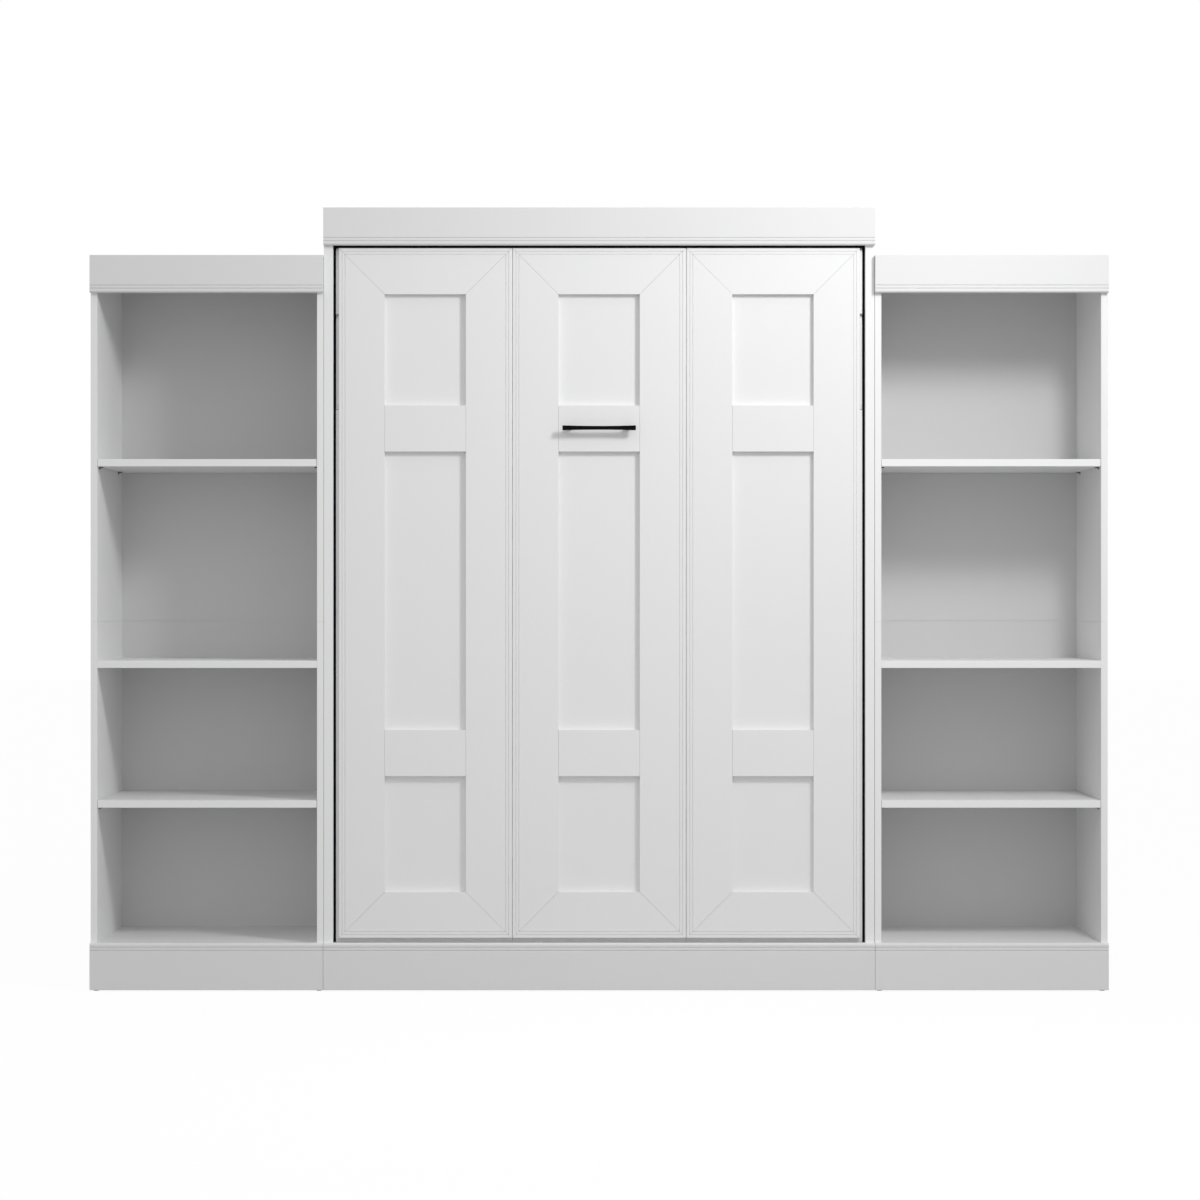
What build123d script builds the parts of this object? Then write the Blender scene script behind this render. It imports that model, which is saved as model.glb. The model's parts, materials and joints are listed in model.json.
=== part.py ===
from build123d import *
import os
from math import acos, cos, degrees, radians, sin, sqrt

# A fold-down wall bed between two open shelving units, in millimetres.
# +X is to the right, +Y is back towards the wall and +Z is up.
# The origin is on the floor, in the middle of the width and of the depth.
# Depths are counted back from the front edges of the side panels: see depth().

# Overall sizes
bed_cabinet_width = 1504
bed_cabinet_height = 2137.5
unit_width = 636
unit_height = 2008
cabinet_gap = 0.8
cabinet_depth = 405
seam_height = 1008
joint_gap = 0.4

# Boards
bed_side_thickness = 25
bed_top_thickness = 25
unit_side_thickness = 18
shelf_thickness = 20
back_thickness = 5
back_lap = 8
edge_round = 1
shelf_edge_gap = 1
shelf_setback = 1.5

# Crown and base boards, with two fine grooves and a bead along one edge
trim_thickness = 18
crown_height = 102
base_height = 127.5
trim_bead_round = 5
trim_corner_round = 1
trim_grooves = (11, 19.5)
groove_width = 3
groove_depth = 2.6

# Shelves of a unit: heights of their top faces, and the lowest board's step below the base board
unit_bottom_step = 2
upper_shelf_top = 1452.6
middle_shelf_top = 901.8
lower_shelf_top = 520

# Shelf supports
support_pin_radius = 2.5
support_pin_depth = 9
support_pad_length = 15
support_pad_reach = 10
support_pad_thickness = 3
support_tab_height = 6
support_tab_thickness = 2
support_front_depth = 37
support_back_inset = 60
support_hole_clearance = 0.1
support_hole_pitch = 32
support_spare_steps = (-1, 0, 1)

# Floor glides
glide_height = 4.5
glide_radius = 8
glide_edge_inset = 13.5
glide_front_inset = 14
glide_back_inset = 30
bed_glide_front_inset = 60

# Bed front: three framed doors on plain panels
door_count = 3
door_seam = 0.8
door_thickness = 16
door_member_width = 126
door_edge_round = 3
door_grooves = (9.5, 17.5)
door_groove_width = 2.2
door_groove_depth = 2
door_foot_gap = 11.7
door_head_gap = 6.5
high_cross_rail_drop = 492.8
low_cross_rail_rise = 505.8
panel_thickness = 10
panel_side_gap = 7
panel_margin = 8
panel_head_step = 3.5
panel_foot_drop = 20

# Bed frame and slats
rail_thickness = 20
rail_depth = 64
rail_edge_inset = 30
frame_head_step = 2.5
beam_width = 40
ledge_width = 24
ledge_depth = 22
slat_count = 14
slat_width = 70
slat_thickness = 14
slat_proud = 4
slat_end_gap = 0.5
slat_round = 3
slat_end_space = 24

# Hinge of the bed, and the angle in degrees through which it swings
bed_swing = 90
pivot_depth = 115
pivot_height = 320
pivot_plate_thickness = 4
pivot_plate_height = 150
pivot_plate_width = 70
pivot_plate_round = 12
pivot_shoulder_radius = 12
pivot_journal_radius = 8
pivot_running_gap = 0.05
pivot_end_gap = 0.4
pivot_tip_gap = 0.5
bush_radius = 12
bush_length = 14
bush_flange_radius = 16
bush_flange_thickness = 2
hinge_plate_thickness = 4
hinge_ear_radius = 24
hinge_strap_width = 46
hinge_strap_round = 22
hinge_strap_rise = 110
hinge_web_rise = 80

# Gas springs: both of their pivots lie on one circle about the bed's hinge
spring_circle_radius = 205
spring_bed_angle = -105
spring_pass_distance = 33
spring_eye_radius = 9
spring_eye_thickness = 10
spring_stud_radius = 4
spring_stud_shoulder_radius = 7
spring_stud_head_radius = 6.5
spring_stud_head_thickness = 1.5
spring_stud_gap = 0.08
spring_side_gap = 0.4
spring_middle_inset = 18.5
spring_cylinder_radius = 9
spring_wall = 1.5
spring_rod_radius = 4
spring_rod_gap = 0.08
spring_piston_gap = 0.1
spring_piston_length = 8
spring_gland_length = 12
spring_end_thickness = 5
spring_end_reserve = 2
spring_neck_radius = 4.2
spring_neck_length = 1.5
spring_open_gap = 1.5
anchor_plate_thickness = 3
anchor_plate_height = 90
anchor_plate_width = 44
anchor_plate_round = 8

# Folding legs
leg_thickness = 6.8
leg_width = 40
leg_door_gap = 0.8
leg_pivot_drop = 193
leg_pad_height = 14
leg_notch_gap = 1.5
leg_notch_side_gap = 0.4
leg_pin_radius = 5
leg_pin_gap = 0.08
leg_spacer_radius = 9
leg_side_gap = 0.4
leg_head_radius = 9
leg_head_thickness = 2

# Black seal strips that fill the gap beside and above the bed's front
seal_gap = 0.4
seal_thickness = 10

# Closing stops
stop_width = 24
stop_depth = 30
stop_height = 40
stop_top_space = 60
bumper_thickness = 3
bumper_gap = 0.4
bumper_inset = 3

# Rails of the bed cabinet
cabinet_rail_thickness = 18
wall_rail_height = 127
front_rail_height = 90
top_rail_lift = 3
headboard_bottom = 600
headboard_height = 260

# Wall fixing holes in the two wall rails
wall_hole_radius = 4
wall_hole_inset = 117.4

# Screws
screw_radius = 2.5
screw_hole_gap = 0.1
screw_head_radius = 5
screw_head_thickness = 2.2
plate_screw_length = 14
plate_screw_inset = 14
link_screw_length = 32
link_screw_height_shares = (0.13, 0.38, 0.59, 0.885)
link_screw_back_inset = 60

# Handle
handle_length = 200
handle_end_height = 13
handle_middle_height = 9.8
handle_thickness = 9
handle_chamfer = 1.2
handle_reach = 33
handle_post_spacing = 160
handle_post_width = 9
handle_post_height = 8
handle_screw_radius = 2
handle_screw_head_radius = 4.5
handle_screw_head_thickness = 2.5
handle_screw_grip = 8

# Margin by which cutting shapes overrun what they cut
overrun = 1

# Places that follow from the sizes
front_y = -(cabinet_depth - handle_reach) / 2
base_top = glide_height + base_height
bed_outer = bed_cabinet_width / 2
bed_inner = bed_outer - bed_side_thickness
unit_inner_edge = bed_outer + cabinet_gap
unit_outer_edge = unit_inner_edge + unit_width
unit_depth = cabinet_depth - back_thickness
unit_bottom_top = base_top - unit_bottom_step
lower_length_top = seam_height - joint_gap / 2
upper_length_bottom = seam_height + joint_gap / 2
support_back_depth = unit_depth - support_back_inset
link_screw_depth = unit_depth - link_screw_back_inset
bed_crown_bottom = bed_cabinet_height - crown_height

# Places on the bed's front
panel_edge = bed_inner - panel_side_gap
door_edge = panel_edge - panel_margin
door_width = (2 * door_edge - (door_count - 1) * door_seam) / door_count
door_pitch = door_width + door_seam
door_bottom = base_top + door_foot_gap
door_top = bed_crown_bottom - door_head_gap
high_cross_rail_height = door_top - high_cross_rail_drop
low_cross_rail_height = door_bottom + low_cross_rail_rise
panel_bottom = base_top - panel_foot_drop
panel_top = door_top - panel_head_step
panel_back = door_thickness + panel_thickness

# The depth at which the seal strips lie, beside the front panel's edges
seal_span = (door_thickness + seal_gap, door_thickness + seal_gap + seal_thickness)
top_seal_span = (door_edge_round, door_edge_round + seal_thickness)
top_rail_bottom = bed_crown_bottom + top_rail_lift

# Places on the bed's frame
rail_outer = panel_edge - rail_edge_inset
rail_inner = rail_outer - rail_thickness
rail_back = panel_back + rail_depth
frame_top = panel_top - frame_head_step
slat_back = rail_back + slat_proud
slat_front = slat_back - slat_thickness

# Folding legs: they lie in the panel's edge, and are as long as the open bed is high
leg_pivot_depth = door_thickness + leg_width / 2
leg_pivot_height = frame_top - leg_pivot_drop
leg_length = pivot_height - pivot_depth + leg_pivot_depth
leg_head_recess = leg_head_thickness + 2 * leg_side_gap
leg_x = (door_edge + leg_door_gap, door_edge + leg_door_gap + leg_thickness)

# Gas springs: the turn between their two pivots, and their lengths with the bed shut and open
spring_x = bed_inner - spring_middle_inset
half_angle = degrees(acos(spring_pass_distance / spring_circle_radius))
spring_wall_angle = spring_bed_angle + 2 * half_angle
spring_long = 2 * spring_circle_radius * sin(radians(half_angle))
spring_short = 2 * spring_circle_radius * sin(radians(half_angle - bed_swing / 2))


def depth(from_panel_edge):
    """The Y of a place so far back from the side panels' front edges."""
    return front_y + from_panel_edge


def board(x_span, depth_span, z_span):
    """A square-edged block between two places across, back and up."""
    width = x_span[1] - x_span[0]
    thickness = depth_span[1] - depth_span[0]
    height = z_span[1] - z_span[0]
    middle = (sum(x_span) / 2, depth(sum(depth_span) / 2), sum(z_span) / 2)
    return Pos(*middle) * Box(width, thickness, height)


def ease_front(shape, along):
    """Rounds a board's two long front edges, which run along the named axis."""
    edges = shape.edges().filter_by(along).group_by(Axis.Y)[0]
    return fillet(edges, edge_round)


def rod_x(x_span, from_front, height, radius):
    """A round bar that runs across the object."""
    length = x_span[1] - x_span[0]
    place = Pos(sum(x_span) / 2, depth(from_front), height)
    return place * Rot(0, 90, 0) * Cylinder(radius, length)


def rod_y(x, depth_span, height, radius):
    """A round bar that runs from front to back."""
    length = depth_span[1] - depth_span[0]
    place = Pos(x, depth(sum(depth_span) / 2), height)
    return place * Rot(90, 0, 0) * Cylinder(radius, length)


def side_plate(x_span, outline):
    """A flat plate square to X. The outline is drawn with depth across and height up."""
    plane = Plane(origin=(x_span[0], front_y, 0), x_dir=(0, 1, 0), z_dir=(1, 0, 0))
    return extrude(plane * outline, x_span[1] - x_span[0])


def both_sides(right):
    """The right-hand piece and its mirror image on the left."""
    return {"right": right, "left": mirror(right, about=Plane.YZ)}


def save(shape, node):
    """Writes one node. A list is written as separate solids."""
    pieces = shape if isinstance(shape, (list, tuple)) else [shape]
    solids = [solid for piece in pieces for solid in piece.solids()]
    whole = solids[0] if len(solids) == 1 else Compound(children=solids)
    export_step(whole, f"parts/{node}.step")


# Crown and base boards


def groove_mark(height, width, cut):
    """The V of one groove, drawn at the front face of a board whose outline starts there."""
    half = width / 2
    return Pos(0, height) * Polygon((0, -half), (cut, 0), (0, half), align=None)


def trim_board(x_span, z_span, grooves_from_top):
    """A board across the front with its beaded edge at the top or at the bottom."""
    low, high = z_span
    outline = Polygon((0, low), (trim_thickness, low), (trim_thickness, high), (0, high), align=None)
    corners = outline.vertices().group_by(Axis.X)[0].sort_by(Axis.Y)
    bead_corner = corners[-1] if grooves_from_top else corners[0]
    plain_corner = corners[0] if grooves_from_top else corners[-1]
    outline = fillet(bead_corner, trim_bead_round)
    plain = outline.vertices().sort_by_distance(Vector(plain_corner.X, plain_corner.Y))[0]
    outline = fillet(plain, trim_corner_round)
    for step in trim_grooves:
        height = high - step if grooves_from_top else low + step
        outline -= groove_mark(height, groove_width, groove_depth)
    plane = Plane(
        origin=(x_span[0], depth(-trim_thickness), 0), x_dir=(0, 1, 0), z_dir=(1, 0, 0)
    )
    return extrude(plane * outline, x_span[1] - x_span[0])


# Shelving units


def support_places():
    """Depths and shelf tops at which the adjustable shelves are carried."""
    for shelf_top in (upper_shelf_top, lower_shelf_top):
        for from_front in (support_front_depth, support_back_depth):
            yield from_front, shelf_top - shelf_thickness - support_pad_thickness / 2


def shelf_support(face_x, into_panel, from_front, height):
    """A shelf support: a pin in the side panel, a tab against it and a pad under the shelf."""
    half_pad = support_pad_length / 2
    half_thick = support_pad_thickness / 2
    pad_x = sorted((face_x, face_x - into_panel * support_pad_reach))
    tab_x = sorted((face_x, face_x - into_panel * support_tab_thickness))
    pin_x = sorted((face_x, face_x + into_panel * support_pin_depth))
    span = (from_front - half_pad, from_front + half_pad)
    pad = board(pad_x, span, (height - half_thick, height + half_thick))
    tab = board(tab_x, span, (height + half_thick - support_tab_height, height + half_thick))
    pin_z = height + half_thick - support_tab_height / 2
    return pad + tab + rod_x(pin_x, from_front, pin_z, support_pin_radius)


def support_holes(face_x, into_panel):
    """The drilled holes for the supports, with a spare one above and below each."""
    reach = support_pin_depth + overrun
    hole_x = sorted((face_x - into_panel * overrun, face_x + into_panel * reach))
    radius = support_pin_radius + support_hole_clearance
    holes = []
    for from_front, height in support_places():
        pin_z = height + support_pad_thickness / 2 - support_tab_height / 2
        for step in support_spare_steps:
            holes.append(rod_x(hole_x, from_front, pin_z + step * support_hole_pitch, radius))
    return holes


def unit_side(x_span, face_x, into_panel, screw_holes):
    """A unit's side panel in two lengths, one above the other, with its holes."""
    lower = ease_front(board(x_span, (0, unit_depth), (glide_height, lower_length_top)), Axis.Z)
    upper = ease_front(board(x_span, (0, unit_depth), (upper_length_bottom, unit_height)), Axis.Z)
    cuts = support_holes(face_x, into_panel) + screw_holes
    pieces = []
    for piece in (lower, upper):
        box = piece.bounding_box()
        near = [c for c in cuts if box.min.Z < c.center().Z < box.max.Z]
        pieces.append(piece - near)
    return pieces


def link_screw(x_head):
    """The screws that hold a unit to the bed cabinet, and the holes that they pass through."""
    screws = []
    holes = []
    hole_radius = screw_radius + screw_hole_gap
    for share in link_screw_height_shares:
        height = share * unit_height
        shank_x = (x_head - link_screw_length, x_head)
        hole_x = (x_head - link_screw_length - screw_hole_gap, x_head + overrun)
        shank = rod_x(shank_x, link_screw_depth, height, screw_radius)
        head_x = (x_head, x_head + screw_head_thickness)
        head = rod_x(head_x, link_screw_depth, height, screw_head_radius)
        screws.append(shank + head)
        holes.append(rod_x(hole_x, link_screw_depth, height, hole_radius))
    return screws, holes


def lapped_backs(x_span, z_span):
    """A unit's two back boards. They lap behind their joint, so that it doesn't let light through."""
    front_half = (unit_depth, unit_depth + back_thickness / 2)
    rear_half = (unit_depth + back_thickness / 2, cabinet_depth)
    lower = board(x_span, (unit_depth, cabinet_depth), (z_span[0], lower_length_top))
    lower += board(x_span, rear_half, (lower_length_top, lower_length_top + back_lap))
    upper = board(x_span, front_half, (upper_length_bottom, z_span[1]))
    upper += board(x_span, rear_half, (upper_length_bottom + back_lap, z_span[1]))
    return [lower, upper]


def make_unit():
    """The right-hand shelving unit, as a table of node endings and their solids."""
    inner_face = unit_inner_edge + unit_side_thickness
    outer_face = unit_outer_edge - unit_side_thickness
    inner_x = (unit_inner_edge, inner_face)
    outer_x = (outer_face, unit_outer_edge)
    inside = (inner_face, outer_face)
    whole = (unit_inner_edge, unit_outer_edge)
    back_bottom = unit_bottom_top - shelf_thickness
    linking, holes = link_screw(inner_face)
    bottom = board(inside, (0, unit_depth), (back_bottom, unit_bottom_top))
    top = board(inside, (0, unit_depth), (unit_height - shelf_thickness, unit_height))
    middle_z = (middle_shelf_top - shelf_thickness, middle_shelf_top)
    middle = ease_front(board(inside, (0, unit_depth), middle_z), Axis.X)
    loose = (inner_face + shelf_edge_gap, outer_face - shelf_edge_gap)
    loose_depth = (shelf_setback, unit_depth - shelf_setback)
    shelves = []
    for shelf_top in (upper_shelf_top, lower_shelf_top):
        shelf = board(loose, loose_depth, (shelf_top - shelf_thickness, shelf_top))
        shelves.append(ease_front(shelf, Axis.X))
    supports = []
    for from_front, height in support_places():
        supports.append(shelf_support(inner_face, -1, from_front, height))
        supports.append(shelf_support(outer_face, 1, from_front, height))
    glides = []
    for x in (unit_inner_edge + glide_edge_inset, unit_outer_edge - glide_edge_inset):
        for from_front in (glide_front_inset, unit_depth - glide_back_inset):
            glides.append(floor_glide(x, from_front))
    return {
        "inner_side": unit_side(inner_x, inner_face, -1, holes),
        "outer_side": unit_side(outer_x, outer_face, 1, []),
        "bottom": [bottom],
        "top": [top],
        "fixed_shelf": [middle],
        "adjustable_shelves": shelves,
        "back": lapped_backs(whole, (back_bottom, unit_height)),
        "crown": [trim_board(whole, (unit_height - crown_height, unit_height), False)],
        "base": [trim_board(whole, (glide_height, base_top), True)],
        "supports": supports,
        "glides": glides,
        "links": linking,
        "link_holes": holes,
    }


def floor_glide(x, from_front):
    """A round foot under a side panel."""
    return Pos(x, depth(from_front), glide_height / 2) * Cylinder(glide_radius, glide_height)


def mirrored(shapes):
    """Mirror images of a list of solids, for the left-hand side."""
    return [mirror(shape, about=Plane.YZ) for shape in shapes]


# Gas spring places


def circle_place(angle):
    """A place on the springs' circle about the hinge: its depth and its height."""
    back = spring_circle_radius * cos(radians(angle))
    up = spring_circle_radius * sin(radians(angle))
    return pivot_depth + back, pivot_height + up


spring_bed_place = circle_place(spring_bed_angle)
spring_wall_place = circle_place(spring_wall_angle)


# Bed cabinet


def plate_screw_places(middle_depth, middle_height, width, height):
    """The four corners of a screwed plate, as depths and heights."""
    for back in (-1, 1):
        for up in (-1, 1):
            from_front = middle_depth + back * (width / 2 - plate_screw_inset)
            yield from_front, middle_height + up * (height / 2 - plate_screw_inset)


def plate_screws(face_x, into, places):
    """Pan-head screws through a plate, and the holes for them."""
    screws = []
    holes = []
    for from_front, height in places:
        shank_x = sorted((face_x, face_x + into * plate_screw_length))
        reach = plate_screw_length + screw_hole_gap
        hole_x = sorted((face_x - into * overrun, face_x + into * reach))
        head_x = sorted((face_x, face_x - into * screw_head_thickness))
        shank = rod_x(shank_x, from_front, height, screw_radius)
        head = rod_x(head_x, from_front, height, screw_head_radius)
        screws.append(shank + head)
        holes.append(rod_x(hole_x, from_front, height, screw_radius + screw_hole_gap))
    return screws, holes


def cabinet_hinge():
    """The right-hand pivot plate with its pin, its screws and their holes."""
    plate_face = bed_inner - pivot_plate_thickness
    half_width = pivot_plate_width / 2
    half_height = pivot_plate_height / 2
    outline = Pos(pivot_depth, pivot_height) * RectangleRounded(
        2 * half_width, 2 * half_height, pivot_plate_round
    )
    plate = side_plate((plate_face, bed_inner), outline)
    bush_face = rail_outer + bush_length
    shoulder_x = (bush_face + pivot_end_gap, plate_face)
    journal_x = (rail_outer + pivot_tip_gap, bush_face + pivot_end_gap)
    shoulder = rod_x(shoulder_x, pivot_depth, pivot_height, pivot_shoulder_radius)
    journal = rod_x(journal_x, pivot_depth, pivot_height, pivot_journal_radius)
    places = plate_screw_places(
        pivot_depth, pivot_height, pivot_plate_width, pivot_plate_height
    )
    screws, holes = plate_screws(plate_face, 1, places)
    return plate + shoulder + journal - holes, screws, holes


def spring_stud(x_root, x_tip, place):
    """A stud for a spring's eye: shoulder, journal and head, from its plate to its tip."""
    way = 1 if x_tip > x_root else -1
    half_eye = spring_eye_thickness / 2 + spring_side_gap
    shoulder_end = spring_x - way * half_eye
    journal_end = spring_x + way * half_eye
    head_end = journal_end + way * spring_stud_head_thickness
    shoulder = rod_x(sorted((x_root, shoulder_end)), *place, spring_stud_shoulder_radius)
    journal = rod_x(sorted((shoulder_end, journal_end)), *place, spring_stud_radius)
    head = rod_x(sorted((journal_end, head_end)), *place, spring_stud_head_radius)
    return shoulder + journal + head


def spring_anchor():
    """The right-hand plate on the cabinet side that carries the spring's upper stud."""
    face = bed_inner - anchor_plate_thickness
    outline = Pos(*spring_wall_place) * RectangleRounded(
        anchor_plate_width, anchor_plate_height, anchor_plate_round
    )
    plate = side_plate((face, bed_inner), outline)
    places = []
    for up in (-1, 1):
        step = up * (anchor_plate_height / 2 - plate_screw_inset)
        places.append((spring_wall_place[0], spring_wall_place[1] + step))
    screws, holes = plate_screws(face, 1, places)
    return plate + spring_stud(face, rail_outer, spring_wall_place) - holes, screws, holes


def closing_stop():
    """The right-hand stop block and its rubber bumper, behind the bed's front panel."""
    stop_front = panel_back + bumper_gap + bumper_thickness
    high = frame_top - stop_top_space
    x_span = (bed_inner - stop_width, bed_inner)
    z_span = (high - stop_height, high)
    block = board(x_span, (stop_front, stop_front + stop_depth), z_span)
    pad_x = (x_span[0] + bumper_inset, x_span[1] - bumper_inset)
    pad_z = (z_span[0] + bumper_inset, z_span[1] - bumper_inset)
    pad = board(pad_x, (stop_front - bumper_thickness, stop_front), pad_z)
    return block, pad


def seal_strips():
    """Strips on the cabinet's sides and under its top rail. The bed's front closes between them."""
    side_x = (bed_inner - panel_side_gap + seal_gap, bed_inner)
    side_z = (base_top, top_rail_bottom)
    side_strip = board(side_x, seal_span, side_z)
    top_x = (-side_x[0], side_x[0])
    top_strip = board(top_x, top_seal_span, (door_top + seal_gap, top_rail_bottom))
    return [side_strip, mirror(side_strip, about=Plane.YZ), top_strip]


def wall_rail(z_span):
    """A rail across the cabinet's back with two holes for the wall."""
    span = (cabinet_depth - cabinet_rail_thickness, cabinet_depth)
    rail = board((-bed_inner, bed_inner), span, z_span)
    cut = (span[0] - overrun, span[1] + overrun)
    for side in (-1, 1):
        x = side * (bed_inner - wall_hole_inset)
        rail -= rod_y(x, cut, sum(z_span) / 2, wall_hole_radius)
    return rail


# Doors on the bed's front


def frame_member(length):
    """A mitred member: its outer edge lies along X and its front face at the lowest Y.
    Each mitre is drawn in by half of the joint's gap, measured square to the mitre."""
    width = door_member_width
    step = joint_gap / sqrt(2)
    outline = Polygon(
        (step, 0),
        (length - step, 0),
        (length - width - step, width),
        (width + step, width),
        align=None,
    )
    face = Plane(origin=(0, 0, 0), x_dir=(1, 0, 0), z_dir=(0, -1, 0))
    member = extrude(face * outline, -door_thickness)
    outer = member.edges().filter_by(Axis.X).group_by(Axis.Z)[0].group_by(Axis.Y)[0]
    member = fillet(outer, door_edge_round)
    half = door_groove_width / 2
    for step in door_grooves:
        mark = Polygon((0, step - half), (door_groove_depth, step), (0, step + half), align=None)
        start = Plane(origin=(-overrun, 0, 0), x_dir=(0, 1, 0), z_dir=(1, 0, 0))
        member -= extrude(start * mark, length + 2 * overrun)
    return member


def door_frame(middle_x, with_handle):
    """Two stiles, two end rails and two cross rails of one door."""
    height = door_top - door_bottom
    rail = frame_member(door_width)
    stile = frame_member(height)
    left = middle_x - door_width / 2
    right = middle_x + door_width / 2
    front = depth(0)
    inside = (left + door_member_width + joint_gap, right - door_member_width - joint_gap)
    pieces = [
        Pos(left, front, door_bottom) * rail,
        Pos(right, front, door_top) * Rot(0, 180, 0) * rail,
        Pos(right, front, door_bottom) * Rot(0, -90, 0) * stile,
        Pos(left, front, door_top) * Rot(0, 90, 0) * stile,
    ]
    half = door_member_width / 2
    for height in (low_cross_rail_height, high_cross_rail_height):
        cross = board(inside, (0, door_thickness), (height - half, height + half))
        pieces.append(cross)
    if with_handle:
        pieces[-1] -= handle_screw_holes()
    return pieces


def door_panel(number):
    """The plain panel behind one door. The outer ones reach past the frames at the sides."""
    left = -door_edge + number * door_pitch
    x_low = -panel_edge if number == 0 else left
    x_high = panel_edge if number == door_count - 1 else left + door_width
    span = (door_thickness, panel_back)
    panel = board((x_low, x_high), span, (panel_bottom, panel_top))
    if number == 0:
        panel -= mirror(leg_notch(), about=Plane.YZ)
    if number == door_count - 1:
        panel -= leg_notch()
    if number == door_count // 2:
        panel -= handle_screw_holes()
    return panel


# Handle


def handle_bar():
    """The bar: taller at its ends than in its middle, with a chamfered front."""
    half = handle_length / 2
    tall = handle_end_height / 2
    low = handle_middle_height / 2
    top = ThreePointArc((-half, tall), (0, low), (half, tall))
    right = Line((half, tall), (half, -tall))
    under = ThreePointArc((half, -tall), (0, -low), (-half, -tall))
    left = Line((-half, -tall), (-half, tall))
    outline = make_face([top, right, under, left])
    face = Plane(
        origin=(0, depth(-handle_reach), high_cross_rail_height),
        x_dir=(1, 0, 0),
        z_dir=(0, -1, 0),
    )
    bar = extrude(face * outline, -handle_thickness)
    return chamfer(bar.faces().sort_by(Axis.Y)[0].edges(), handle_chamfer)


def handle_places():
    """The two posts' places across the door."""
    return (-handle_post_spacing / 2, handle_post_spacing / 2)


def handle_posts():
    """Two posts from the door's face to the bar, with threaded ends."""
    half_width = handle_post_width / 2
    half_height = handle_post_height / 2
    z_span = (high_cross_rail_height - half_height, high_cross_rail_height + half_height)
    posts = []
    for x in handle_places():
        post = board((x - half_width, x + half_width), (handle_thickness - handle_reach, 0), z_span)
        radius = handle_screw_radius + screw_hole_gap
        reach = (-handle_screw_grip - screw_hole_gap, overrun)
        posts.append(post - rod_y(x, reach, high_cross_rail_height, radius))
    return posts


def handle_screws():
    """Two screws from behind the panel into the posts."""
    screws = []
    for x in handle_places():
        shank = (-handle_screw_grip, panel_back)
        head = (panel_back, panel_back + handle_screw_head_thickness)
        screw = rod_y(x, shank, high_cross_rail_height, handle_screw_radius)
        screw += rod_y(x, head, high_cross_rail_height, handle_screw_head_radius)
        screws.append(screw)
    return screws


def handle_screw_holes():
    """The holes for the handle's screws through door and panel."""
    radius = handle_screw_radius + screw_hole_gap
    span = (-overrun, panel_back + overrun)
    return [rod_y(x, span, high_cross_rail_height, radius) for x in handle_places()]


# Folding legs


def leg_notch():
    """The room for the right-hand leg in the edge of the front panel."""
    low = leg_pivot_height - leg_length - leg_notch_gap
    high = leg_pivot_height + leg_width / 2 + leg_notch_gap
    x_span = (leg_x[0] - leg_notch_side_gap, panel_edge + overrun)
    return board(x_span, (door_thickness - overrun, panel_back + overrun), (low, high))


def folding_leg():
    """The right-hand leg: a flat bar, round at its pivot, and its rubber pad."""
    foot = leg_pivot_height - leg_length
    bar_foot = foot + leg_pad_height
    half = leg_width / 2
    span = (leg_pivot_depth - half, leg_pivot_depth + half)
    bar = board(leg_x, span, (bar_foot, leg_pivot_height))
    bar += rod_x(leg_x, leg_pivot_depth, leg_pivot_height, half)
    bore_x = (leg_x[0] - overrun, leg_x[1] + overrun)
    bar -= rod_x(bore_x, leg_pivot_depth, leg_pivot_height, leg_pin_radius + leg_pin_gap)
    recess_x = (leg_x[1] - leg_head_recess, leg_x[1] + overrun)
    bar -= rod_x(recess_x, leg_pivot_depth, leg_pivot_height, leg_head_radius + leg_side_gap)
    pad = board(leg_x, span, (foot, bar_foot))
    return bar, pad


def leg_pivot():
    """The shoulder screw that carries the right-hand leg. Its head lies in the leg's recess."""
    place = (leg_pivot_depth, leg_pivot_height)
    spacer_x = (rail_outer, leg_x[0] - leg_side_gap)
    pin_x = (spacer_x[1], leg_x[1] - leg_head_recess + leg_side_gap)
    head_x = (pin_x[1], pin_x[1] + leg_head_thickness)
    spacer = rod_x(spacer_x, *place, leg_spacer_radius)
    pin = rod_x(pin_x, *place, leg_pin_radius)
    head = rod_x(head_x, *place, leg_head_radius)
    return spacer + pin + head


# Bed frame


def hinge_plate():
    """The right-hand plate on the bed's rail: it holds the hinge bush and the spring's stud."""
    x_span = (rail_outer, rail_outer + hinge_plate_thickness)
    strap_middle = panel_back + rail_depth / 2
    low = spring_bed_place[1] - hinge_strap_width / 2
    high = pivot_height + hinge_strap_rise + hinge_strap_width / 2
    strap = Pos(strap_middle, (low + high) / 2) * RectangleRounded(
        hinge_strap_width, high - low, hinge_strap_round
    )
    ear = Pos(pivot_depth, pivot_height) * Circle(hinge_ear_radius)
    web = Polygon(
        (strap_middle, pivot_height - hinge_web_rise),
        (pivot_depth, pivot_height - hinge_ear_radius),
        (pivot_depth, pivot_height + hinge_ear_radius),
        (strap_middle, pivot_height + hinge_web_rise),
        align=None,
    )
    plate = side_plate(x_span, strap + ear + web)
    bore_x = (x_span[0] - overrun, x_span[1] + overrun)
    plate -= rod_x(bore_x, pivot_depth, pivot_height, bush_radius)
    plate += spring_stud(x_span[1], bed_inner, spring_bed_place)
    places = []
    for rise in (hinge_strap_rise, 0, -hinge_web_rise):
        places.append((strap_middle, pivot_height + rise))
    screws, holes = plate_screws(x_span[1], -1, places)
    return plate - holes, screws, holes


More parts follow.
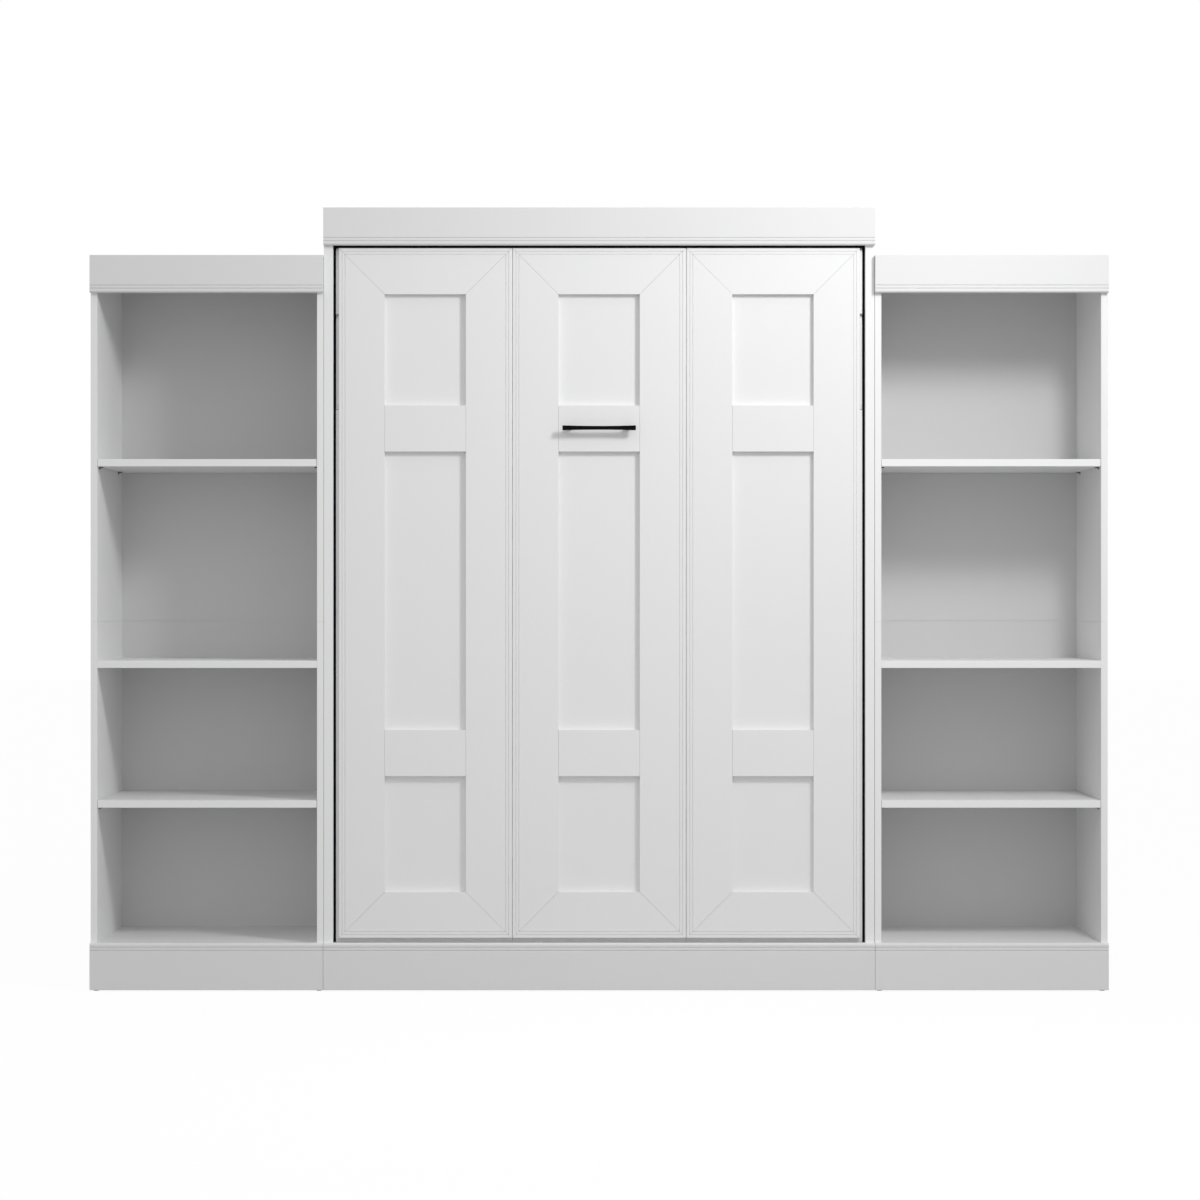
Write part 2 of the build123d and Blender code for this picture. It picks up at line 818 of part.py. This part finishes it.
def hinge_bush():
    """The right-hand bush, pressed into the hinge plate, with a flange on its outer side."""
    x_span = (rail_outer, rail_outer + bush_length)
    flange_start = rail_outer + hinge_plate_thickness
    flange_x = (flange_start, flange_start + bush_flange_thickness)
    bush = rod_x(x_span, pivot_depth, pivot_height, bush_radius)
    bush += rod_x(flange_x, pivot_depth, pivot_height, bush_flange_radius)
    bore_x = (x_span[0] - overrun, x_span[1] + overrun)
    bore_radius = pivot_journal_radius + pivot_running_gap
    return bush - rod_x(bore_x, pivot_depth, pivot_height, bore_radius)


def slats():
    """Slats across the bed, evenly spaced between the end rails."""
    low = panel_bottom + rail_thickness + slat_end_space
    high = frame_top - rail_thickness - slat_end_space
    pitch = (high - low - slat_width) / (slat_count - 1)
    half_length = rail_inner - slat_end_gap
    pieces = []
    for number in range(slat_count):
        start = low + number * pitch
        span = (slat_front, slat_back)
        slat = board((-half_length, half_length), span, (start, start + slat_width))
        edges = slat.edges().filter_by(Axis.X).group_by(Axis.Y)[-1]
        pieces.append(fillet(edges, slat_round))
    return pieces


# Gas springs


def spring_parts():
    """The right-hand gas spring as cylinder and rod, built along Z and then laid in place.
    The cylinder's eye is on the cabinet's stud and the rod's eye is on the bed's stud."""
    eye_bore = spring_stud_radius + spring_stud_gap
    tube_start = spring_eye_radius + spring_neck_length
    tube_end = spring_short - spring_eye_radius - spring_open_gap
    bore = spring_cylinder_radius - spring_wall
    eye = Rot(0, 90, 0) * Cylinder(spring_eye_radius, spring_eye_thickness)
    hole = Rot(0, 90, 0) * Cylinder(eye_bore, spring_eye_thickness + 2 * overrun)

    def up_bar(start, end, radius):
        return Pos(0, 0, (start + end) / 2) * Cylinder(radius, end - start)

    tube = up_bar(tube_start, tube_end, spring_cylinder_radius)
    inside_start = tube_start + spring_end_thickness
    tube -= up_bar(inside_start, tube_end + overrun, bore)
    neck = up_bar(0, tube_start + spring_end_thickness, spring_neck_radius)
    cylinder = tube + eye + neck - hole
    gland = up_bar(tube_end - spring_gland_length, tube_end, bore)
    gland -= up_bar(
        tube_end - spring_gland_length - overrun,
        tube_end + overrun,
        spring_rod_radius + spring_rod_gap,
    )
    rod_tip = spring_long - (spring_short - inside_start - spring_end_reserve)
    piston_radius = bore - spring_piston_gap
    rod = up_bar(rod_tip, spring_long, spring_rod_radius)
    rod += up_bar(rod_tip, rod_tip + spring_piston_length, piston_radius)
    rod_eye = Pos(0, 0, spring_long)
    rod += rod_eye * eye
    rod -= rod_eye * hole
    back = spring_bed_place[0] - spring_wall_place[0]
    up = spring_bed_place[1] - spring_wall_place[1]
    start = (spring_x, depth(spring_wall_place[0]), spring_wall_place[1])
    along = Plane(origin=start, x_dir=(1, 0, 0), z_dir=(0, back, up))
    return [along * cylinder, along * gland], along * rod


# Write every node

os.makedirs("parts", exist_ok=True)

unit = make_unit()
group = ("supports", "glides", "links", "link_holes")
for ending in [name for name in unit if name not in group]:
    save(unit[ending], f"unit_right_{ending}")
    save(mirrored(unit[ending]), f"unit_left_{ending}")
save(unit["supports"] + mirrored(unit["supports"]), "shelf_supports")

bed_glides = []
for x in (-bed_outer + glide_edge_inset, bed_outer - glide_edge_inset):
    for from_front in (bed_glide_front_inset, cabinet_depth - glide_back_inset):
        bed_glides.append(floor_glide(x, from_front))
save(unit["glides"] + mirrored(unit["glides"]) + bed_glides, "floor_glides")

pivot_plate, pivot_screws, pivot_holes = cabinet_hinge()
anchor, anchor_screws, anchor_holes = spring_anchor()
side = board((bed_inner, bed_outer), (0, cabinet_depth), (glide_height, bed_cabinet_height))
side = ease_front(side, Axis.Z)
side -= unit["link_holes"] + pivot_holes + anchor_holes
for name, piece in both_sides(side).items():
    save(piece, f"cabinet_side_{name}")
save([pivot_plate] + mirrored([pivot_plate]), "pivot_plates")
save([anchor] + mirrored([anchor]), "spring_anchors")
cabinet_screws = pivot_screws + anchor_screws + unit["links"]
save(cabinet_screws + mirrored(cabinet_screws), "cabinet_screws")

inside_x = (-bed_inner, bed_inner)
outside_x = (-bed_outer, bed_outer)
top_z = (bed_cabinet_height - bed_top_thickness, bed_cabinet_height)
save(board(inside_x, (0, cabinet_depth), top_z), "cabinet_top")
save(trim_board(outside_x, (bed_crown_bottom, bed_cabinet_height), False), "cabinet_crown")
save(trim_board(outside_x, (glide_height, base_top), True), "cabinet_base")
front_rails = [
    board(inside_x, (0, cabinet_rail_thickness), (glide_height, glide_height + front_rail_height)),
    board(inside_x, (0, cabinet_rail_thickness), (top_rail_bottom, top_z[0])),
]
save(front_rails, "front_rails")
save(seal_strips(), "seal_strips")
save(
    [
        wall_rail((top_z[0] - wall_rail_height, top_z[0])),
        wall_rail((glide_height, glide_height + wall_rail_height)),
    ],
    "wall_rails",
)
headboard_span = (cabinet_depth - cabinet_rail_thickness, cabinet_depth)
headboard_z = (headboard_bottom, headboard_bottom + headboard_height)
save(board(inside_x, headboard_span, headboard_z), "headboard")
stop_block, stop_pad = closing_stop()
save([stop_block] + mirrored([stop_block]), "closing_stops")
save([stop_pad] + mirrored([stop_pad]), "stop_bumpers")

door_names = ("left", "centre", "right")
for number, name in enumerate(door_names):
    middle_x = -door_edge + door_width / 2 + number * door_pitch
    save(door_frame(middle_x, name == "centre"), f"door_frame_{name}")
    save(door_panel(number), f"door_panel_{name}")

save(handle_bar(), "handle_bar")
save(handle_posts(), "handle_posts")

plate, plate_screw_set, plate_holes = hinge_plate()
for name, piece in both_sides(plate).items():
    save(piece, f"hinge_plate_{name}")
rail_x = (rail_inner, rail_outer)
rail_span = (panel_back, rail_back)
side_rail = board(rail_x, rail_span, (panel_bottom, frame_top)) - plate_holes
save([side_rail] + mirrored([side_rail]), "bed_side_rails")
between = (-rail_inner, rail_inner)
end_rails = [
    board(between, rail_span, (panel_bottom, panel_bottom + rail_thickness)),
    board(between, rail_span, (frame_top - rail_thickness, frame_top)),
]
save(end_rails, "bed_end_rails")
beam_z = (panel_bottom + rail_thickness, frame_top - rail_thickness)
beam_x = (-beam_width / 2, beam_width / 2)
save(board(beam_x, (panel_back, slat_front), beam_z), "centre_beam")
ledge_x = (rail_inner - ledge_width, rail_inner)
ledge = board(ledge_x, (slat_front - ledge_depth, slat_front), beam_z)
save([ledge] + mirrored([ledge]), "slat_ledges")
save(slats(), "slats")
bush = hinge_bush()
save([bush] + mirrored([bush]), "hinge_bushes")
bed_screws = plate_screw_set + mirrored(plate_screw_set) + handle_screws()
save(bed_screws, "bed_screws")
pivot_screw = leg_pivot()
save([pivot_screw] + mirrored([pivot_screw]), "leg_pivots")

leg_bar, leg_pad = folding_leg()
for name, piece in both_sides(leg_bar).items():
    save(piece, f"leg_{name}")
for name, piece in both_sides(leg_pad).items():
    save(piece, f"leg_pad_{name}")

spring_cylinder, spring_rod = spring_parts()
save(spring_cylinder, "spring_cylinder_right")
save(mirrored(spring_cylinder), "spring_cylinder_left")
save(spring_rod, "spring_rod_right")
save(mirror(spring_rod, about=Plane.YZ), "spring_rod_left")

print("spring", round(spring_long, 1), "to", round(spring_short, 1))
print("leg length", round(leg_length, 1))
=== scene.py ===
import json
import math

import bpy
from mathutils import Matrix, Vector


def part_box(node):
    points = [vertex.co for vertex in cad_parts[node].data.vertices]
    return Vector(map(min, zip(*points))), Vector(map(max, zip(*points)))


# A white wall bed between two open shelving units, dressed around its fixed frame. All lengths are
# in metres.
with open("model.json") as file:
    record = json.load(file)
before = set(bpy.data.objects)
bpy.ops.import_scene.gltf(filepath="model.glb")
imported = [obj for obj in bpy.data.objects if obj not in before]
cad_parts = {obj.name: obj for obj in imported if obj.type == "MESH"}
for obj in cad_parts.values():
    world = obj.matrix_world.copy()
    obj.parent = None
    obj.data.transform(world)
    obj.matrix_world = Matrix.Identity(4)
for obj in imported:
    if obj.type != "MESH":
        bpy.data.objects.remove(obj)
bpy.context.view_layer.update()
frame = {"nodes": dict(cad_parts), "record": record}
nodes = frame["nodes"]

# Camera: square on to the front, at the height that the picture's perspective gives. Its lens is
# assumed, and its distance follows from that lens and from the object's size.
LENS_MM = 85.0
SENSOR_MM = 36.0
CAMERA_DISTANCE = 7.72
CAMERA_HEIGHT = 1.0676
CAMERA_X = 0.0023
CAMERA_PITCH = math.radians(90)
CAMERA_REACH = 100.0
FRONT_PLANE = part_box("cabinet_crown")[0].y

# One lamp near the upper right, given by its place, the point that it faces, its size and its
# power, under an even sky
KEY_LAMP = {
    "place": (1.55, -1.95, 2.75),
    "aim": (-0.5, -1.2, 1.54),
    "size": 0.5,
    "watts": 37.5,
}
SKY_LEVEL = 0.72
SKY_COLOUR = (1, 1, 1, 1)
SEEN_SKY_LEVEL = 1.0

# A floor that is nearly white to the camera and grey to the light
GROUND_SPAN = 60.0
GROUND_COLOUR = (0.5, 0.5, 0.5, 1.0)
GROUND_WHITE = 1.07
GROUND_SHADOW_SHARE = 0.12


def make_camera():
    """The camera that sees the object as the picture does."""
    camera = bpy.data.objects.new("camera", bpy.data.cameras.new("camera"))
    camera.data.lens = LENS_MM
    camera.data.sensor_width = SENSOR_MM
    camera.location = (CAMERA_X, FRONT_PLANE - CAMERA_DISTANCE, CAMERA_HEIGHT)
    camera.rotation_euler = (CAMERA_PITCH, 0, 0)
    camera.data.clip_end = CAMERA_REACH
    bpy.context.scene.collection.objects.link(camera)
    bpy.context.scene.camera = camera


def make_lamp(name, place, aim, size, watts):
    """A square area lamp at a place, facing a point."""
    lamp = bpy.data.objects.new(name, bpy.data.lights.new(name, "AREA"))
    lamp.data.shape = "SQUARE"
    lamp.data.size = size
    lamp.data.energy = watts
    lamp.location = place
    lamp.rotation_mode = "QUATERNION"
    lamp.rotation_quaternion = (Vector(aim) - Vector(place)).to_track_quat("-Z", "Y")
    bpy.context.scene.collection.objects.link(lamp)


def is_seen_directly(tree):
    """A value of 1 on rays from the camera, on mirror rays and through glass, and 0 elsewhere."""
    path = tree.nodes.new("ShaderNodeLightPath")
    first = tree.nodes.new("ShaderNodeMath")
    first.operation = "MAXIMUM"
    second = tree.nodes.new("ShaderNodeMath")
    second.operation = "MAXIMUM"
    tree.links.new(path.outputs["Is Camera Ray"], first.inputs[0])
    tree.links.new(path.outputs["Is Glossy Ray"], first.inputs[1])
    tree.links.new(first.outputs[0], second.inputs[0])
    tree.links.new(path.outputs["Is Transmission Ray"], second.inputs[1])
    return second.outputs[0]


def make_sky():
    """White where it is looked at, and an even pale light on the object."""
    world = bpy.data.worlds.new("sky")
    world.use_nodes = True
    tree = world.node_tree
    tree.nodes.clear()
    light = tree.nodes.new("ShaderNodeBackground")
    light.inputs["Color"].default_value = SKY_COLOUR
    light.inputs["Strength"].default_value = SKY_LEVEL
    seen = tree.nodes.new("ShaderNodeBackground")
    seen.inputs["Color"].default_value = SKY_COLOUR
    seen.inputs["Strength"].default_value = SEEN_SKY_LEVEL
    mix = tree.nodes.new("ShaderNodeMixShader")
    out = tree.nodes.new("ShaderNodeOutputWorld")
    tree.links.new(is_seen_directly(tree), mix.inputs[0])
    tree.links.new(light.outputs[0], mix.inputs[1])
    tree.links.new(seen.outputs[0], mix.inputs[2])
    tree.links.new(mix.outputs[0], out.inputs["Surface"])
    bpy.context.scene.world = world


def make_ground():
    """A plain pale floor: nearly white to the camera, with a trace of the object's shadow."""
    half = GROUND_SPAN / 2
    mesh = bpy.data.meshes.new("ground")
    corners = [(-half, -half, 0), (half, -half, 0), (half, half, 0), (-half, half, 0)]
    mesh.from_pydata(corners, [], [(0, 1, 2, 3)])
    ground = bpy.data.objects.new("ground", mesh)
    bpy.context.scene.collection.objects.link(ground)
    material = bpy.data.materials.new("ground")
    material.use_nodes = True
    tree = material.node_tree
    tree.nodes.clear()
    matte = tree.nodes.new("ShaderNodeBsdfDiffuse")
    matte.inputs["Color"].default_value = GROUND_COLOUR
    seen = tree.nodes.new("ShaderNodeEmission")
    seen.inputs["Strength"].default_value = GROUND_WHITE
    keep = tree.nodes.new("ShaderNodeMath")
    keep.operation = "MULTIPLY"
    keep.inputs[1].default_value = 1 - GROUND_SHADOW_SHARE
    mix = tree.nodes.new("ShaderNodeMixShader")
    out = tree.nodes.new("ShaderNodeOutputMaterial")
    tree.links.new(is_seen_directly(tree), keep.inputs[0])
    tree.links.new(keep.outputs[0], mix.inputs[0])
    tree.links.new(matte.outputs[0], mix.inputs[1])
    tree.links.new(seen.outputs[0], mix.inputs[2])
    tree.links.new(mix.outputs[0], out.inputs["Surface"])
    mesh.materials.append(material)


make_camera()
make_lamp("key_lamp", **KEY_LAMP)
make_sky()
make_ground()
bpy.context.scene.view_settings.view_transform = "Standard"

# Every effect below puts out a colour, a roughness and a height.
EFFECT_OUTPUTS = [
    ("Colour", "NodeSocketColor"),
    ("Roughness", "NodeSocketFloat"),
    ("Height", "NodeSocketFloat"),
]
NOISE_MIDDLE = 0.5
NOISE_ROUGH = 0.5
# The scale of a noise whose vector is stretched already
AS_STRETCHED = 1.0

# Foil on board: the cloud's and the pebble's steps of detail, the pebble's roughness, and how far
# the sheen sways with the cloud
CLOUD_DETAIL = 3.0
PEBBLE_DETAIL = 2.0
PEBBLE_ROUGH = 0.6
SHEEN_SWAY = 0.12

# Glued wood: its rings and pores as noises stretched along X, how much each darkens the wood, and
# where the sine that draws the glue lines is cut
RING_STRETCH = (0.35, 4.0, 4.0)
RING_DETAIL = 6.0
RING_ROUGH = 0.55
RING_WEIGHT = 1.7
RING_OFFSET = -0.45
PORE_STRETCH = (8.0, 320.0, 320.0)
PORE_DETAIL = 3.0
PORE_ROUGH = 0.6
PORE_WEIGHT = 0.25
PORE_SHEEN = 0.2
WOOD_SHEEN = 0.5
GLUE_LINE_CUT = 0.6

# Rolled metal: scratches as a noise stretched along Z, over a slow change in tone
SCRATCH_STRETCH = (900.0, 900.0, 30.0)
SCRATCH_DETAIL = 2.0
TONE_SCALE = 40.0
TONE_DETAIL = 3.0
TONE_SWING = 0.2
TONE_BASE = 0.9

# The white's blue against its red and green
BLUE_TRACE = 1.005


def new_group(name, inputs):
    """An empty shader group with these inputs and an effect's outputs, and its two end nodes."""
    group = bpy.data.node_groups.new(name, "ShaderNodeTree")
    for socket, kind, value in inputs:
        made = group.interface.new_socket(socket, in_out="INPUT", socket_type=kind)
        made.default_value = value
    for socket, kind in EFFECT_OUTPUTS:
        group.interface.new_socket(socket, in_out="OUTPUT", socket_type=kind)
    return group, group.nodes.new("NodeGroupInput"), group.nodes.new("NodeGroupOutput")


def link(tree, start, end):
    """Joins two sockets."""
    tree.links.new(start, end)


def math_node(tree, operation, first, second=0.0):
    """A Math node whose inputs are sockets or numbers."""
    node = tree.nodes.new("ShaderNodeMath")
    node.operation = operation
    for socket, value in zip(node.inputs, (first, second)):
        if isinstance(value, (int, float)):
            socket.default_value = value
        else:
            link(tree, value, socket)
    return node.outputs[0]


def noise_node(tree, vector, scale, detail, rough=NOISE_ROUGH):
    """A noise texture read at a vector."""
    node = tree.nodes.new("ShaderNodeTexNoise")
    node.inputs["Detail"].default_value = detail
    node.inputs["Roughness"].default_value = rough
    if isinstance(scale, (int, float)):
        node.inputs["Scale"].default_value = scale
    else:
        link(tree, scale, node.inputs["Scale"])
    link(tree, vector, node.inputs["Vector"])
    return node.outputs["Fac"]


def stretched(tree, vector, shares):
    """The vector with each axis multiplied by its share, so a pattern runs along one of them."""
    node = tree.nodes.new("ShaderNodeVectorMath")
    node.operation = "MULTIPLY"
    node.inputs[1].default_value = shares
    link(tree, vector, node.inputs[0])
    return node.outputs[0]


def scaled(tree, vector, share):
    """The vector or colour times a share that comes from a socket."""
    node = tree.nodes.new("ShaderNodeVectorMath")
    node.operation = "SCALE"
    link(tree, vector, node.inputs[0])
    link(tree, share, node.inputs["Scale"])
    return node.outputs[0]


def parts_of(tree, vector):
    """The outputs X, Y and Z of a vector."""
    node = tree.nodes.new("ShaderNodeSeparateXYZ")
    link(tree, vector, node.inputs[0])
    return node.outputs


def make_film_group():
    """Foil on board: a faint cloudiness in the colour, a fine pebbled height and an uneven sheen.
    The faces that face -Y, which are the front edges where the banding is glued, are painted a
    little lighter than the faces: painted light."""
    group, into, out = new_group(
        "foil_film",
        [
            ("Colour", "NodeSocketColor", (0.8, 0.8, 0.8, 1)),
            ("Cloud", "NodeSocketFloat", 0.02),
            ("Cloud Scale", "NodeSocketFloat", 3.0),
            ("Pebble Scale", "NodeSocketFloat", 900.0),
            ("Sheen", "NodeSocketFloat", 0.42),
            ("Front Painted Light", "NodeSocketFloat", 0.0),
        ],
    )
    where = group.nodes.new("ShaderNodeTexCoord")
    place = where.outputs["Object"]
    facing = parts_of(group, where.outputs["Normal"])
    # Painted light: the faces that face -Y, the banded front edges, are made lighter by the share
    # given to the group
    forward = math_node(group, "MAXIMUM", math_node(group, "MULTIPLY", facing["Y"], -1.0), 0.0)
    painted_front_light = math_node(group, "MULTIPLY", forward, into.outputs["Front Painted Light"])
    cloud = noise_node(group, place, into.outputs["Cloud Scale"], CLOUD_DETAIL)
    drift = math_node(group, "SUBTRACT", cloud, NOISE_MIDDLE)
    swing = math_node(group, "MULTIPLY", drift, into.outputs["Cloud"])
    level = math_node(group, "ADD", math_node(group, "ADD", swing, painted_front_light), 1.0)
    pebble = noise_node(
        group, place, into.outputs["Pebble Scale"], PEBBLE_DETAIL, PEBBLE_ROUGH
    )
    uneven = math_node(group, "MULTIPLY", drift, SHEEN_SWAY)
    sheen = math_node(group, "ADD", into.outputs["Sheen"], uneven)
    link(group, scaled(group, into.outputs["Colour"], level), out.inputs["Colour"])
    link(group, sheen, out.inputs["Roughness"])
    link(group, pebble, out.inputs["Height"])
    return group


def make_grain_group():
    """Glued wood: rings cut lengthways, fine pores along the length, and a lighter and a darker
    tone. The faces that don't look along Y show the veneers as dark lines, one for each step
    along Y."""
    group, into, out = new_group(
        "wood_grain",
        [
            ("Light", "NodeSocketColor", (0.8, 0.6, 0.4, 1)),
            ("Dark", "NodeSocketColor", (0.5, 0.35, 0.2, 1)),
            ("Ring Scale", "NodeSocketFloat", 14.0),
            ("Veneer", "NodeSocketFloat", 0.0028),
            ("Veneer Tone", "NodeSocketFloat", 0.3),
        ],
    )
    where = group.nodes.new("ShaderNodeTexCoord")
    place = where.outputs["Object"]
    drawn = stretched(group, place, RING_STRETCH)
    rings = noise_node(group, drawn, into.outputs["Ring Scale"], RING_DETAIL, RING_ROUGH)
    combed = stretched(group, place, PORE_STRETCH)
    pores = noise_node(group, combed, AS_STRETCHED, PORE_DETAIL, PORE_ROUGH)
    ringed = math_node(group, "MULTIPLY", rings, RING_WEIGHT)
    weight = math_node(group, "ADD", ringed, RING_OFFSET)
    pored = math_node(group, "ADD", weight, math_node(group, "MULTIPLY", pores, PORE_WEIGHT))
    spot = parts_of(group, place)
    facing = parts_of(group, where.outputs["Normal"])
    turns = math_node(group, "MULTIPLY", spot["Y"], math.tau)
    turned = math_node(group, "DIVIDE", turns, into.outputs["Veneer"])
    wave = math_node(group, "SINE", turned)
    glue = math_node(group, "GREATER_THAN", wave, GLUE_LINE_CUT)
    edge = math_node(group, "SUBTRACT", 1.0, math_node(group, "ABSOLUTE", facing["Y"]))
    seen = math_node(group, "MULTIPLY", glue, edge)
    lines = math_node(group, "MULTIPLY", seen, into.outputs["Veneer Tone"])
    dulled = math_node(group, "MULTIPLY", pores, PORE_SHEEN)
    mix = group.nodes.new("ShaderNodeMix")
    mix.data_type = "RGBA"
    link(group, math_node(group, "ADD", pored, lines), mix.inputs["Factor"])
    link(group, into.outputs["Light"], mix.inputs["A"])
    link(group, into.outputs["Dark"], mix.inputs["B"])
    link(group, mix.outputs["Result"], out.inputs["Colour"])
    link(group, math_node(group, "ADD", dulled, WOOD_SHEEN), out.inputs["Roughness"])
    link(group, math_node(group, "ADD", rings, pores), out.inputs["Height"])
    return group


def make_brushed_group():
    """Rolled metal: long fine scratches one way, over a slow change in tone."""
    group, into, out = new_group(
        "rolled_metal",
        [
            ("Colour", "NodeSocketColor", (0.6, 0.6, 0.6, 1)),
            ("Sheen", "NodeSocketFloat", 0.32),
            ("Scratch", "NodeSocketFloat", 0.18),
        ],
    )
    place = group.nodes.new("ShaderNodeTexCoord").outputs["Object"]
    combed = stretched(group, place, SCRATCH_STRETCH)
    lines = noise_node(group, combed, AS_STRETCHED, SCRATCH_DETAIL)
    slow = noise_node(group, place, TONE_SCALE, TONE_DETAIL)
    tone = math_node(group, "ADD", math_node(group, "MULTIPLY", slow, TONE_SWING), TONE_BASE)
    rough = math_node(group, "MULTIPLY", lines, into.outputs["Scratch"])
    sheen = math_node(group, "ADD", into.outputs["Sheen"], rough)
    link(group, scaled(group, into.outputs["Colour"], tone), out.inputs["Colour"])
    link(group, sheen, out.inputs["Roughness"])
    link(group, lines, out.inputs["Height"])
    return group


film = make_film_group()
grain = make_grain_group()
brushed = make_brushed_group()


def surface(name, group, values, bump, bump_distance, constants=None):
    """A material: one Principled shader fed by a shared group, with its own constants set on the
    shader."""
    material = bpy.data.materials.new(name)
    material.use_nodes = True
    tree = material.node_tree
    shader = tree.nodes["Principled BSDF"]
    effect = tree.nodes.new("ShaderNodeGroup")
    effect.node_tree = group
    for socket, value in values.items():
        effect.inputs[socket].default_value = value
    link(tree, effect.outputs["Colour"], shader.inputs["Base Color"])
    link(tree, effect.outputs["Roughness"], shader.inputs["Roughness"])
    height = tree.nodes.new("ShaderNodeBump")
    height.inputs["Strength"].default_value = bump
    height.inputs["Distance"].default_value = bump_distance
    link(tree, effect.outputs["Height"], height.inputs["Height"])
    link(tree, height.outputs["Normal"], shader.inputs["Normal"])
    for socket, value in (constants or {}).items():
        shader.inputs[socket].default_value = value
    return material


def white(level):
    """A neutral white with a trace of blue, as a linear colour."""
    return (level, level, level * BLUE_TRACE, 1)


MATERIALS = {
    "white_board": surface(
        "matte_foil_board",
        film,
        {"Colour": white(0.79), "Sheen": 0.75},
        bump=0.05,
        bump_distance=0.0002,
    ),
    # The backs of the bays: a darker white than the other boards, painted shade for the shade that
    # falls deep in the bays
    "white_back_board": surface(
        "back_board_painted_shade",
        film,
        {"Colour": white(0.66), "Sheen": 0.55},
        bump=0.06,
        bump_distance=0.0002,
    ),
    "white_front": surface(
        "door_front_foil",
        film,
        {"Colour": white(0.86), "Sheen": 0.4},
        bump=0.05,
        bump_distance=0.0002,
    ),
    "white_frame": surface(
        "painted_rail",
        film,
        {"Colour": white(0.78), "Sheen": 0.5},
        bump=0.08,
        bump_distance=0.0003,
    ),
    "slat_wood": surface(
        "birch_slat",
        grain,
        {"Light": (0.70, 0.52, 0.33, 1), "Dark": (0.43, 0.28, 0.15, 1)},
        bump=0.15,
        bump_distance=0.0003,
    ),
    "black_handle": surface(
        "black_powder_coat",
        film,
        {"Colour": (0.005, 0.004, 0.004, 1), "Cloud": 0.2, "Sheen": 0.5},
        bump=0.12,
        bump_distance=0.0001,
        constants={"Specular IOR Level": 0.04},
    ),
    # Black rubber for the glides and bumpers, and for the seal strips in the gaps round the bed's
    # front, which stand in for the shade deep in the gaps: painted shadow, with the shine turned
    # down so the gaps read black
    "black_rubber": surface(
        "black_rubber",
        film,
        {"Colour": (0.005, 0.005, 0.005, 1), "Cloud": 0.3, "Sheen": 0.7},
        bump=0.2,
        bump_distance=0.0002,
        constants={"Specular IOR Level": 0.05},
    ),
    "white_rubber": surface(
        "white_rubber",
        film,
        {"Colour": white(0.7), "Cloud": 0.05, "Sheen": 0.7},
        bump=0.2,
        bump_distance=0.0002,
    ),
    "white_steel": surface(
        "white_coated_steel",
        film,
        {"Colour": white(0.76), "Sheen": 0.35},
        bump=0.1,
        bump_distance=0.0001,
    ),
    "black_cylinder": surface(
        "black_spring_tube",
        film,
        {"Colour": (0.02, 0.02, 0.021, 1), "Cloud": 0.2, "Sheen": 0.28},
        bump=0.04,
        bump_distance=0.0001,
    ),
    "dark_support": surface(
        "smoked_plastic",
        film,
        {"Colour": (0.1, 0.1, 0.1, 1), "Cloud": 0.2, "Sheen": 0.35},
        bump=0.1,
        bump_distance=0.0001,
    ),
    "bush_plastic": surface(
        "pale_nylon",
        film,
        {"Colour": (0.6, 0.58, 0.52, 1), "Cloud": 0.05, "Sheen": 0.45},
        bump=0.1,
        bump_distance=0.0001,
    ),
    "bright_steel": surface(
        "zinc_plate",
        brushed,
        {"Colour": (0.55, 0.55, 0.56, 1)},
        bump=0.1,
        bump_distance=0.00005,
        constants={"Metallic": 1.0},
    ),
}

# The sides, shelves and bottoms, whose front edges are banded and painted a little lighter as
# painted light
BANDED_WORDS = ("_side", "_shel", "unit_left_bottom", "unit_right_bottom")
banded_board_painted_front = surface(
    "banded_foil_board_painted_front",
    film,
    {"Colour": white(0.83), "Sheen": 0.6, "Front Painted Light": 0.07},
    bump=0.05,
    bump_distance=0.0002,
)

for part in frame["record"]["subparts"]:
    finish = MATERIALS[part["material_slot"]]
    is_banded = any(word in part["node"] for word in BANDED_WORDS)
    if part["material_slot"] == "white_board" and is_banded:
        finish = banded_board_painted_front
    for held in nodes[part["node"]].material_slots:
        held.material = finish
